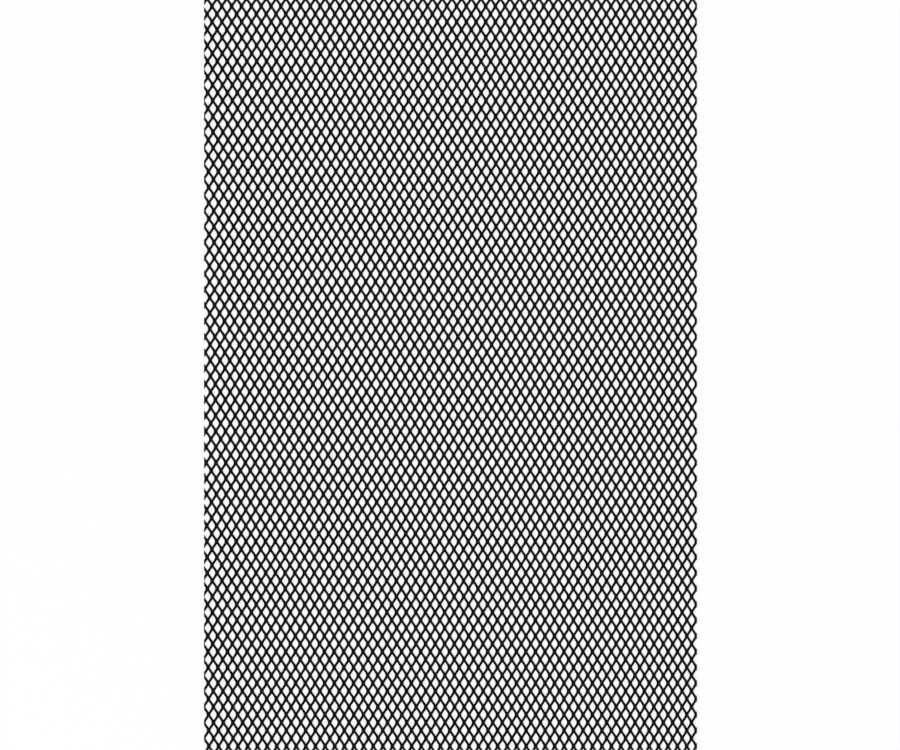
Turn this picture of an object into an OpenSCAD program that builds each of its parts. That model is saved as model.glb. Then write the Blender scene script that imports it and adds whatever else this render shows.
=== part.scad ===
// Expanded aluminium micro mesh: one raised sheet with a black finish. It is a single
// piece of metal, drawn here in sections that meet along the middles of the strands.
// X runs across the sheet (the short way of the mesh), Y along it (the long way), Z up.
// The origin is under the middle of the sheet, on the surface that it lies on.

/* [Sheet] */
// Width of the sheet, the short way of the mesh
sheet_w = 150; // [100:1:200]
// Length of the sheet, the long way of the mesh
sheet_l = 230; // [150:1:300]
// Height of the raised mesh over all
mesh_h = 1; // [0.4:0.05:1.6]

/* [Mesh] */
// Bond to bond across the sheet
short_way = 2.93; // [2.4:0.01:3.6]
// Bond to bond along the sheet
long_way = 4.79; // [3.9:0.01:5.8]
// Width of a strand, seen from above
strand_w = 0.7; // [0.4:0.01:0.8]
// Width of a bond, seen from above
bond_w = 0.98; // [0.7:0.01:1.2]
// Straight run of a bond along the sheet
bond_run = 0.2; // [0.1:0.01:0.5]
// How far the rounded side takes back each tip of an opening
tip_cut = 0.17; // [0.1:0.01:0.3]

/* [Lie of the mesh on the sheet] */
// Middle bond, to the right of the middle of the sheet
mesh_x = 0.88; // [-1.5:0.01:1.5]
// Middle bond, beyond the middle of the sheet
mesh_y = -0.36; // [-2.4:0.01:2.4]
// Sideways drift of the columns from the near end to the far end
drift = -0.92; // [-3:0.01:3]
// Part by which the mesh is wider at the far end than at the near end
spread = 0.016; // [-0.03:0.001:0.03]
// Part by which the columns close up from the middle to the right edge, and open to the left
crowding = 0.018; // [-0.03:0.001:0.03]

/* [Hidden] */
sections_across = ["left", "centre_left", "centre_right", "right"];
sections_along = ["near", "middle", "far"];

// The mesh is a grid of half pitches. Bonds are where column + row is even, openings where it is odd.
half_x = short_way / 2;
half_y = long_way / 2;
function mesh_at(column, row) =
    let (across = column * half_x, y = mesh_y + row * half_y, along = y / sheet_l)
    [mesh_x + across * (1 + spread * along - crowding * across / sheet_w) + drift * along, y];

// An opening: a vee that points left, closed on its right by the arc that clears the bond
strand_slope = half_x / (half_y - bond_run);
strand_across = strand_w * sqrt(1 + strand_slope * strand_slope);
vee_x = (half_x + strand_slope * half_y - strand_across) / 2;
flat_x = short_way - bond_w - vee_x;
tip_y = vee_x / strand_slope - tip_cut;
tip_x = strand_slope * tip_y - vee_x;
arc_depth = flat_x - tip_x;
arc_r = (arc_depth * arc_depth + tip_y * tip_y) / (2 * arc_depth);

// Section seams lie on even columns and rows, and the outer ones clear the sheet
function seam(part, parts, size, pitch) =
    part == 0 ? -2 * ceil(size / pitch / 2 + 2)
    : part == parts ? 2 * ceil(size / pitch / 2 + 2)
    : 2 * round((part / parts - 0.5) * size / pitch);
function seam_column(part) = seam(part, len(sections_across), sheet_w, short_way);
function seam_row(part) = seam(part, len(sections_along), sheet_l, long_way);

// A seam runs from bond to bond, so each bond on it is on the seam's line or on the next one
function bond_beside(line, other) = line + abs(line + other) % 2;

function section_name(along, across) = str("mesh_", sections_along[along], "_", sections_across[across]);

module opening() {
    vee_length = vee_x + 2 * flat_x;
    intersection() {
        translate([-vee_x, 0])
            polygon([[0, 0], [vee_length, -vee_length / strand_slope], [vee_length, vee_length / strand_slope]]);
        translate([flat_x - arc_r, 0]) circle(r = arc_r, $fn = 48);
    }
}

// Outline of a section: from bond to bond along its near, right, far and left seams
module section_outline(left, right, near, far) {
    polygon(concat(
        [for (column = [left + 1 : right + 1]) mesh_at(column, bond_beside(near, column))],
        [for (row = [near + 2 : far]) mesh_at(bond_beside(right, row), row)],
        [for (column = [right - 1 : -1 : left]) mesh_at(column, bond_beside(far, column))],
        [for (row = [far - 1 : -1 : near + 2]) mesh_at(bond_beside(left, row), row)]));
}

module openings(left, right, near, far) {
    for (column = [left + 1 : right], row = [near + 1 : far]) {
        place = mesh_at(column, row);
        on_sheet = abs(place.x) < sheet_w / 2 + vee_x && abs(place.y) < sheet_l / 2 + tip_y;
        if (abs(column + row) % 2 == 1 && on_sheet) translate(place) opening();
    }
}

module mesh_section(along, across) {
    left = seam_column(across);
    right = seam_column(across + 1);
    near = seam_row(along);
    far = seam_row(along + 1);
    color([0.07, 0.07, 0.075]) linear_extrude(height = mesh_h) difference() {
        intersection() {
            square([sheet_w, sheet_l], center = true);
            section_outline(left, right, near, far);
        }
        openings(left, right, near, far);
    }
}

for (along = [0 : len(sections_along) - 1], across = [0 : len(sections_across) - 1])
    mesh_section(along, across);
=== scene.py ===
import bpy
import bmesh
import math
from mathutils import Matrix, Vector


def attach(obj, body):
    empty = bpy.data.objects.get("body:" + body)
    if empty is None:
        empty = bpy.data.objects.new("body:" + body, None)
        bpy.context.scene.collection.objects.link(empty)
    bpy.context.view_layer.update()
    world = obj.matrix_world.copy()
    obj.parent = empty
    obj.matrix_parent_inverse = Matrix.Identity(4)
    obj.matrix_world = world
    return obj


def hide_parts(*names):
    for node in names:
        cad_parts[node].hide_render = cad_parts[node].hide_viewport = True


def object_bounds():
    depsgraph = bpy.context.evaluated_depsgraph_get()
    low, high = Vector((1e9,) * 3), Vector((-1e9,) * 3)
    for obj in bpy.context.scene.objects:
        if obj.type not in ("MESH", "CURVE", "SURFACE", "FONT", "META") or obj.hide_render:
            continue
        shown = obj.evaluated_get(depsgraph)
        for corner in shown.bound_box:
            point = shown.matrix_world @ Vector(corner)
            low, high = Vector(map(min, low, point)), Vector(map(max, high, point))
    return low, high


# Raised expanded aluminium micro mesh with a thin black coat, lying flat and seen from straight above.
# X is the short way of the mesh, Y the long way, Z up. Meshes are worked in millimetres, then scaled.

mm = 0.001    # metres

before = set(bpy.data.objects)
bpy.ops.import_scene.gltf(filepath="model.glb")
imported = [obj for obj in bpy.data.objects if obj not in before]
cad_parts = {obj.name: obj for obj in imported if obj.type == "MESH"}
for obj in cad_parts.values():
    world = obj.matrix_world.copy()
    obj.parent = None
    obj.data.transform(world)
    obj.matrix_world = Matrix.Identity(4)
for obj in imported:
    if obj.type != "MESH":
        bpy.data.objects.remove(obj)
cadLow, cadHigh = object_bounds()
print("frame loaded,", len(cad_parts), "sections of one sheet")

# Camera: straight down, framed as 900 x 750 pixels with the sheet's middle half a pixel right of centre

view = {
    "photoWide": 900,        # pixels
    "sheetWide": 493,        # pixels that the sheet's width takes
    "sheetRight": 0.5,       # pixels that the sheet's middle lies right of the picture's
    "lens": 300,             # millimetres, so long that every opening is seen from straight above
    "sensor": 36,            # millimetres
    "farthest": 50,          # metres that the camera sees
}


def addCamera(values):
    metresPerPixel = (cadHigh.x - cadLow.x) / values["sheetWide"]
    distance = metresPerPixel * values["photoWide"] * values["lens"] / values["sensor"]
    data = bpy.data.cameras.new("camera")
    data.lens = values["lens"]
    data.sensor_width = values["sensor"]
    data.clip_end = values["farthest"]
    camera = bpy.data.objects.new("camera", data)
    camera.location = (-values["sheetRight"] * metresPerPixel, 0, (cadLow.z + cadHigh.z) / 2 + distance)
    bpy.context.scene.collection.objects.link(camera)
    bpy.context.scene.camera = camera


addCamera(view)
print("camera set")

# Mesh as it is slit, stretched and coated, in millimetres

stock = {
    "shortWay": 2.93,        # bond to bond across the sheet
    "longWay": 4.79,         # bond to bond along the sheet
    "gauge": 0.5,            # thickness of the metal
    "bondTilt": 38,          # degrees that the bonds stand up out of the sheet
    "strandSeen": 0.8,       # width of a strand with its coat, seen from above
    "bondSeen": 1.08,        # width of a bond with its coat, up to where its strands' lines meet
    "strandSlope": 0.667,    # sideways run of a strand for each millimetre along the sheet
    "bondFlat": 0.15,        # half of the straight run of a bond's low side
    "veeFlat": 0.1,          # half of the blunt corner on a bond's high side
    "veeRound": 0.12,        # how far that corner stands out from where the strands' lines meet
    "slitRound": 0.08,       # how far the coat and the tear fill a slit's end
    "edgeRound": 0.05,       # rounding that the coat leaves on each edge
    "rimAngle": 50,          # degrees between two faces, from which their edge is a rim
    "throughGauge": 0.75,    # part of an edge's length across the gauge, from which it is no rim
    "smoothAngle": 30,       # degrees between two faces, up to which the shading runs on
    "unitReach": 0.95,       # part of the half pitch, past which a neighbour's metal starts
    "mergeGap": 0.001,       # points nearer than this become one
    "cutGap": 0.0001,        # points nearer than this to a strand's cut lie on it
    "edgeGap": 0.00001,      # points nearer than this to the sheet's edge lie on it
}

# How the mesh lies on the sheet, in millimetres, with spread and crowding as parts of its width

lie = {
    "right": 0.88,           # middle bond, right of the sheet's middle
    "beyond": -0.36,         # middle bond, beyond the sheet's middle
    "drift": -0.92,          # sideways, from the near end to the far end
    "spread": 0.016,         # wider at the far end than at the near end
    "crowding": 0.018,       # columns close up from the middle to the right, and open to the left
    "spare": 2,              # pitches of mesh made past each edge of the sheet, at least
}

halfShort, halfLong = stock["shortWay"] / 2, stock["longWay"] / 2


def everything(bm):
    return bm.verts[:] + bm.edges[:] + bm.faces[:]


def newObject(name, bm):
    # an object of the scene with the given mesh, which is freed
    data = bpy.data.meshes.new(name)
    bm.to_mesh(data)
    bm.free()
    made = bpy.data.objects.new(name, data)
    bpy.context.scene.collection.objects.link(made)
    return made


def pullEdge(bm, edge, left, right):
    # pulls a new strip out of an edge, puts its far corners in place and returns its far edge
    made = bmesh.ops.extrude_edge_only(bm, edges=[edge])["geom"]
    corners = sorted((v for v in made if isinstance(v, bmesh.types.BMVert)), key=lambda v: v.co.x)
    corners[0].co, corners[1].co = left, right
    edges = (e for e in made if isinstance(e, bmesh.types.BMEdge))
    return next(e for e in edges if all(v in corners for v in e.verts))


def lean(values, slope):
    # how far the metal reaches past its middle surface at a tilted edge, seen from above, along X
    tilt = math.atan(math.tan(math.radians(values["bondTilt"])) * math.hypot(1, slope))
    reach = values["gauge"] / 2 * math.sin(tilt) - values["edgeRound"] * math.cos(tilt)
    return reach * math.hypot(1, slope)


def bondSkin(values):
    # middle surface of one bond and the near halves of its four strands
    slope = values["strandSlope"]
    turn = math.atan(slope)
    rise = math.tan(math.radians(values["bondTilt"]))
    strandAcross = values["strandSeen"] * math.hypot(1, slope)
    vee = (halfShort + slope * halfLong - strandAcross) / 2    # middle of an opening to its left corner
    bondLean = lean(values, 0)
    strandLean = lean(values, slope)
    left = halfShort - values["bondSeen"] - vee + bondLean
    corner = halfShort - vee - bondLean    # where the right strands' lines would meet
    right = corner + values["veeRound"]
    middle = (left + corner) / 2
    slitEnd = halfLong - (vee + strandLean) / slope + values["slitRound"]
    midStrand = halfLong / 2

    # heights: the bond's low and high side, the slit's end on it, and a strand's edges at its middle
    low, high, slitRise = (left - middle) * rise, (corner - middle) * rise, -middle * rise
    strandRise = (strandAcross / 2 - strandLean) * rise

    def beside(y):
        return vee + strandLean - slope * (halfLong - y)   # strand's edge along the slit

    def outside(y):
        return halfShort - vee - strandLean + slope * y    # strand's edge along the next opening

    # the low side runs into the left strand's edge by an arc, and the high side into the right strand's
    flat = values["bondFlat"]
    arcRound = (-(left + outside(0)) / slope - flat) / math.tan(turn / 2)
    arcEnd = flat + arcRound * math.sin(turn)
    arcMiddle = (left - arcRound * (1 - math.cos(turn / 2)), flat + arcRound * math.sin(turn / 2), low)
    veeEnd = (right - outside(0)) / (1 - math.cos(turn)) * math.cos(turn) * math.sin(turn)

    bm = bmesh.new()
    half = ((left, 0, low), (left, flat, low), arcMiddle, (0, slitEnd, slitRise),
            (outside(veeEnd), veeEnd, high), (right, values["veeFlat"], high), (right, 0, high))
    bond = bm.faces.new([bm.verts.new(place) for place in half])
    leftEdge, rightEdge = bond.edges[2], bond.edges[3]     # from the slit's end to either side
    for y in (arcEnd, midStrand):
        share = (y - slitEnd) / (midStrand - slitEnd)
        ease = share * share * (3 - 2 * share)             # twists slowly at both ends of the strand
        up = slitRise + (strandRise - slitRise) * ease     # left strand's edge along the slit
        down = slitRise - (strandRise + slitRise) * ease   # right strand's edge along the slit
        lowSide = low - (strandRise + low) * ease
        highSide = high + (strandRise - high) * ease
        leftEdge = pullEdge(bm, leftEdge, (-outside(y), y, lowSide), (-beside(y), y, up))
        rightEdge = pullEdge(bm, rightEdge, (beside(y), y, down), (outside(y), y, highSide))
    bmesh.ops.mirror(bm, geom=everything(bm), axis="Y", merge_dist=values["mergeGap"])
    # the two halves of the bond become one face
    across = [e for e in bm.edges if all(abs(v.co.y) < values["mergeGap"] for v in e.verts)]
    bmesh.ops.dissolve_edges(bm, edges=across, use_verts=False)
    bmesh.ops.dissolve_verts(bm, verts=[v for v in bm.verts if abs(v.co.y) < values["mergeGap"]])
    return bm


def throughModifiers(bm, name, modifiers):
    # a new mesh, as the given modifiers leave the given one, which is freed
    body = newObject(name, bm)
    data = body.data
    for kind, settings in modifiers:
        modifier = body.modifiers.new(kind.lower(), kind)
        for key, value in settings.items():
            setattr(modifier, key, value)
    result = bmesh.new()
    result.from_object(body, bpy.context.evaluated_depsgraph_get())
    bpy.data.objects.remove(body)
    bpy.data.meshes.remove(data)
    return result


def thicken(gauge):
    # settings of a wall that has half its gauge to each side
    return "SOLIDIFY", {"thickness": gauge, "offset": 0, "use_even_offset": True,
                        "use_quality_normals": True}


def repeat(count, x, y):
    # settings of an array that joins each copy to the one before
    return "ARRAY", {"count": count, "use_relative_offset": False, "use_constant_offset": True,
                     "constant_offset_displace": (x, y, 0), "use_merge_vertices": True,
                     "merge_threshold": stock["mergeGap"]}


def roundRims(bm, values):
    # bevels the sharp edges along bonds and strands, and marks the bevels for the grey of edge wear and
    # a painted edge highlight
    rimWearAndHighlight = bm.faces.layers.float.new("rimWearAndHighlight")
    tilt = math.radians(values["bondTilt"])
    through = Vector((-math.sin(tilt), 0, math.cos(tilt)))    # across the gauge of the tilted metal
    rims = []
    for edge in bm.edges:
        along = (edge.verts[1].co - edge.verts[0].co).normalized()
        sharp = edge.is_manifold and edge.calc_face_angle() > math.radians(values["rimAngle"])
        if sharp and abs(along.dot(through)) < values["throughGauge"]:
            rims.append(edge)
    bevels = bmesh.ops.bevel(bm, geom=rims, offset=values["edgeRound"], offset_type="OFFSET", segments=1,
                             profile=0.5, affect="EDGES", material=-1, clamp_overlap=True)["faces"]
    for face in bevels:
        face[rimWearAndHighlight] = 1


def bondUnit(values):
    # one bond with its four half strands, open where each strand is cut at its middle
    bm = bondSkin(values)
    source = everything(bm)
    # the four next bonds, so that no strand ends at its middle while the wall is made
    for x, y in ((1, 1), (1, -1), (-1, 1), (-1, -1)):
        copied = bmesh.ops.duplicate(bm, geom=source)["geom"]
        points = [v for v in copied if isinstance(v, bmesh.types.BMVert)]
        bmesh.ops.translate(bm, verts=points, vec=(x * halfShort, y * halfLong, 0))
    bmesh.ops.remove_doubles(bm, verts=bm.verts, dist=values["mergeGap"])
    bmesh.ops.recalc_face_normals(bm, faces=bm.faces)
    cutY = halfLong / 2

    def atCut(v):
        return abs(abs(v.co.y) - cutY) < values["mergeGap"]

    # half strands become whole ones, are thickened and rounded, and are cut at their middles again
    joints = [e for e in bm.edges if len(e.link_faces) == 2 and all(atCut(v) for v in e.verts)]
    bmesh.ops.dissolve_edges(bm, edges=joints, use_verts=False)
    bmesh.ops.dissolve_verts(bm, verts=[v for v in bm.verts if len(v.link_edges) == 2 and atCut(v)])
    bm = throughModifiers(bm, "skin", [thicken(values["gauge"])])
    bmesh.ops.recalc_face_normals(bm, faces=bm.faces)
    roundRims(bm, values)
    for side in (1, -1):
        bmesh.ops.bisect_plane(bm, geom=everything(bm), dist=values["cutGap"],
                               plane_co=(0, side * cutY, 0), plane_no=(0, side, 0), clear_outer=True)
    neighbours = [v for v in bm.verts if abs(v.co.x) > halfShort * values["unitReach"]]
    bmesh.ops.delete(bm, geom=neighbours, context="VERTS")
    return bm


def fitHeight(bm):
    # brings the unit's lowest and highest points to those of the CAD sheet
    low, high = cadLow.z / mm, cadHigh.z / mm
    bottom, top = min(v.co.z for v in bm.verts), max(v.co.z for v in bm.verts)
    stretch = (high - low) / (top - bottom)
    for v in bm.verts:
        v.co.z = low + (v.co.z - bottom) * stretch
    print("relief stretched by", round(stretch, 3))


def seam(part, parts, size, pitch):
    # column or row of a seam between sections, in half pitches; the outer ones clear the sheet
    outer = 2 * math.ceil(size / pitch / 2 + lie["spare"])
    if part in (0, parts):
        return outer if part else -outer
    return 2 * round((part / parts - 0.5) * size / pitch)


def layMesh(bm, width, length):
    # moves each point of the even mesh to its place on the sheet
    for v in bm.verts:
        x, y = v.co.x, v.co.y + lie["beyond"]
        along = y / length
        stretch = 1 + lie["spread"] * along - lie["crowding"] * x / width
        v.co.x = lie["right"] + x * stretch + lie["drift"] * along
        v.co.y = y


def cutEdge(bm, place, outward):
    # shears the mesh along one edge of the sheet, if it reaches past it, and closes the cut ends
    if not any((v.co - place).dot(outward) > 0 for v in bm.verts):
        return
    cut = bmesh.ops.bisect_plane(bm, geom=everything(bm), dist=stock["edgeGap"], plane_co=place,
                                 plane_no=outward, clear_outer=True)["geom_cut"]
    edges = [e for e in cut if isinstance(e, bmesh.types.BMEdge) and e.is_boundary]
    bmesh.ops.holes_fill(bm, edges=edges, sides=0)


def meshSection(name, unit, columns, rows):
    # two units a half pitch apart, repeated between the section's seams, laid and cut at the edges
    low, high = cadLow / mm, cadHigh / mm
    bm = throughModifiers(unit.copy(), name, [
        repeat(2, halfShort, halfLong),
        repeat((columns[1] - columns[0]) // 2, 2 * halfShort, 0),
        repeat((rows[1] - rows[0]) // 2, 0, 2 * halfLong)])
    start = ((columns[0] + 1) * halfShort, (rows[0] + 1) * halfLong, 0)
    bmesh.ops.translate(bm, verts=bm.verts, vec=start)
    bmesh.ops.holes_fill(bm, edges=[e for e in bm.edges if e.is_boundary], sides=0)
    layMesh(bm, high.x - low.x, high.y - low.y)
    for corner, side in ((low, -1), (high, 1)):
        cutEdge(bm, Vector((corner.x, 0, 0)), Vector((side, 0, 0)))
        cutEdge(bm, Vector((0, corner.y, 0)), Vector((0, side, 0)))
    bmesh.ops.scale(bm, verts=bm.verts, vec=(mm, mm, mm))
    piece = newObject(name, bm)
    piece.data.shade_smooth()
    piece.data.set_sharp_from_angle(angle=math.radians(stock["smoothAngle"]))
    return piece


def addSheet():
    # the whole sheet, in sections that each replace the CAD node of the same name
    unit = bondUnit(stock)
    fitHeight(unit)
    print("bond unit made,", len(unit.faces), "faces")
    width, length = (cadHigh.x - cadLow.x) / mm, (cadHigh.y - cadLow.y) / mm
    across = ["left", "centre_left", "centre_right", "right"]
    along = ["near", "middle", "far"]
    columns = [seam(part, len(across), width, stock["shortWay"]) for part in range(len(across) + 1)]
    rows = [seam(part, len(along), length, stock["longWay"]) for part in range(len(along) + 1)]
    sections = []
    for alongNumber, alongName in enumerate(along):
        for acrossNumber, acrossName in enumerate(across):
            node = f"mesh_{alongName}_{acrossName}"
            piece = meshSection("raised_" + node, unit, columns[acrossNumber:acrossNumber + 2],
                                rows[alongNumber:alongNumber + 2])
            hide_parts(node)
            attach(piece, "root")
            sections.append(piece)
    unit.free()
    triangles = sum(len(p.vertices) - 2 for s in sections for p in s.data.polygons)
    print("sheet made,", len(sections), "sections,", triangles, "triangles")
    return sections


sections = addSheet()

# Black coat: satin, finely grained, and a little greyer along its rims from wear and a painted edge
# highlight, and on its highest faces from wear and a painted sheen

coat = {
    "black": (0.002, 0.002, 0.0021, 1),
    # grey of wear, painted edge highlight and painted sheen
    "wearAndSheen": (0.018, 0.018, 0.0188, 1),
    "topWearAndSheen": 0.2,       # share of the rims' grey of wear and painted highlight that the highest faces have
    "wearAndSheenFrom": 0.55,      # millimetres up, where the faces' wear and painted sheen starts
    "wearAndSheenTo": 1.0,         # millimetres up, where it is full
    "specular": 0.05,        # low, because the photo's black has hardly any light in it
    "roughness": (0.4, 0.6),    # in the dips and on the peaks of the grain
    "grainSize": 0.07,       # millimetres
    "grainDetail": 3,
    "grainHeight": 0.003,    # millimetres
    "patchSize": 9,          # millimetres, of the patches in which the coat is thinner
    "patchDetail": 2,
    "noiseRange": (0.35, 0.65),    # values that most of a noise lies between
    "leastPatch": 0.35,      # share of the wear and painted sheen that the thickest coat keeps
    "leastGrain": 0.5,       # share of the wear and painted sheen in the dips of the grain
}


def link(tree, source, socket, target, entry):
    tree.links.new(source.outputs[socket], target.inputs[entry])


def noise(tree, place, size, detail):
    grain = tree.nodes.new("ShaderNodeTexNoise")
    grain.inputs["Scale"].default_value = 1 / (size * mm)
    grain.inputs["Detail"].default_value = detail
    link(tree, place, "Object", grain, "Vector")
    return grain


def ranged(tree, source, socket, fromRange, toRange):
    # the source's value moved from one range to another
    node = tree.nodes.new("ShaderNodeMapRange")
    node.inputs["From Min"].default_value, node.inputs["From Max"].default_value = fromRange
    node.inputs["To Min"].default_value, node.inputs["To Max"].default_value = toRange
    link(tree, source, socket, node, "Value")
    return node


def combined(tree, operation, first, firstSocket, second, secondSocket):
    node = tree.nodes.new("ShaderNodeMath")
    node.operation = operation
    link(tree, first, firstSocket, node, 0)
    link(tree, second, secondSocket, node, 1)
    return node


def newMaterial(name):
    material = bpy.data.materials.new(name)
    material.use_nodes = True
    return material, material.node_tree, material.node_tree.nodes["Principled BSDF"]


def blackCoat(values):
    material, tree, shader = newMaterial("black_coat")
    shader.inputs["Specular IOR Level"].default_value = values["specular"]
    place = tree.nodes.new("ShaderNodeTexCoord")
    grain = noise(tree, place, values["grainSize"], values["grainDetail"])
    patches = noise(tree, place, values["patchSize"], values["patchDetail"])
    bump = tree.nodes.new("ShaderNodeBump")
    bump.inputs["Distance"].default_value = values["grainHeight"] * mm
    link(tree, grain, "Fac", bump, "Height")
    link(tree, bump, "Normal", shader, "Normal")
    gloss = ranged(tree, grain, "Fac", values["noiseRange"], values["roughness"])
    link(tree, gloss, "Result", shader, "Roughness")
    axes = tree.nodes.new("ShaderNodeSeparateXYZ")
    link(tree, place, "Object", axes, "Vector")
    # painted sheen, partly wear: the highest faces get greyer with height
    wearAndSheenHeights = (values["wearAndSheenFrom"] * mm, values["wearAndSheenTo"] * mm)
    height = ranged(tree, axes, "Z", wearAndSheenHeights, (0, values["topWearAndSheen"]))
    # the marked rim bevels, greyer from edge wear and a painted edge highlight
    rims = tree.nodes.new("ShaderNodeAttribute")
    rims.attribute_name = "rimWearAndHighlight"
    thin = ranged(tree, patches, "Fac", values["noiseRange"], (values["leastPatch"], 1))
    speckle = ranged(tree, grain, "Fac", values["noiseRange"], (values["leastGrain"], 1))
    # grey of wear and painted sheen on the rims and highest faces, less where the coat is thick and in
    # the grain's dips
    wearAndSheenShare = combined(tree, "MAXIMUM", height, "Result", rims, "Fac")
    wearAndSheenShare = combined(tree, "MULTIPLY", wearAndSheenShare, "Value", thin, "Result")
    wearAndSheenShare = combined(tree, "MULTIPLY", wearAndSheenShare, "Value", speckle, "Result")
    colour = tree.nodes.new("ShaderNodeMix")
    colour.data_type = "RGBA"
    colour.inputs["A"].default_value = values["black"]
    colour.inputs["B"].default_value = values["wearAndSheen"]
    link(tree, wearAndSheenShare, "Value", colour, "Factor")
    link(tree, colour, "Result", shader, "Base Color")
    return material


black = blackCoat(coat)
for piece in sections:
    piece.data.materials.append(black)
print("coat made")

# Floor and light

room = {
    "floorSize": 6,          # metres
    "floorGrey": 0.16,
    "floorRough": 0.9,
    "floorOwnLight": 0.86,   # with the lamps' light this makes the floor white to the camera
    "floorGap": 0.02,        # millimetres between the floor and the lowest points of the mesh
    "worldLight": 0.35,      # strength that lights the sheet
    "worldSeen": 1,          # strength that shows to the camera and in the gloss
}
lamps = {                    # places and sizes in metres, power in watts
    "key": {"place": (-0.7, -0.5, 1.1), "size": 0.7, "power": 9},
    "fill": {"place": (0.8, 0.5, 0.9), "size": 0.9, "power": 4},
}


def seenRays(tree):
    # 1 for rays that show the room, straight or in a gloss or glass, and 0 for those that light things
    rays = tree.nodes.new("ShaderNodeLightPath")
    seen = combined(tree, "ADD", rays, "Is Camera Ray", rays, "Is Glossy Ray")
    seen = combined(tree, "ADD", seen, "Value", rays, "Is Transmission Ray")
    seen.use_clamp = True
    return seen


def addFloor(values):
    bm = bmesh.new()
    bmesh.ops.create_grid(bm, x_segments=1, y_segments=1, size=values["floorSize"] / 2)
    bmesh.ops.translate(bm, verts=bm.verts, vec=(0, 0, cadLow.z - values["floorGap"] * mm))
    floor = newObject("floor", bm)
    material, tree, shader = newMaterial("pale_floor")
    shader.inputs["Base Color"].default_value = (values["floorGrey"],) * 3 + (1,)
    shader.inputs["Roughness"].default_value = values["floorRough"]
    shader.inputs["Specular IOR Level"].default_value = 0
    shader.inputs["Emission Color"].default_value = (1, 1, 1, 1)
    own = ranged(tree, seenRays(tree), "Value", (0, 1), (0, values["floorOwnLight"]))
    link(tree, own, "Result", shader, "Emission Strength")
    floor.data.materials.append(material)


def addWorld(values):
    world = bpy.data.worlds.new("studio")
    bpy.context.scene.world = world
    world.use_nodes = True
    tree = world.node_tree
    back = tree.nodes["Background"]
    back.inputs["Color"].default_value = (1, 1, 1, 1)
    strength = ranged(tree, seenRays(tree), "Value", (0, 1), (values["worldLight"], values["worldSeen"]))
    link(tree, strength, "Result", back, "Strength")


def addLamp(name, values):
    data = bpy.data.lights.new(name, "AREA")
    data.shape = "DISK"
    data.size = values["size"]
    data.energy = values["power"]
    lamp = bpy.data.objects.new(name, data)
    lamp.location = values["place"]
    lamp.rotation_euler = (-Vector(values["place"])).to_track_quat("-Z", "Y").to_euler()
    bpy.context.scene.collection.objects.link(lamp)


addFloor(room)
addWorld(room)
for lampName, lampValues in lamps.items():
    addLamp(lampName, lampValues)
bpy.context.scene.view_settings.view_transform = "Standard"
print("floor and lamps set")
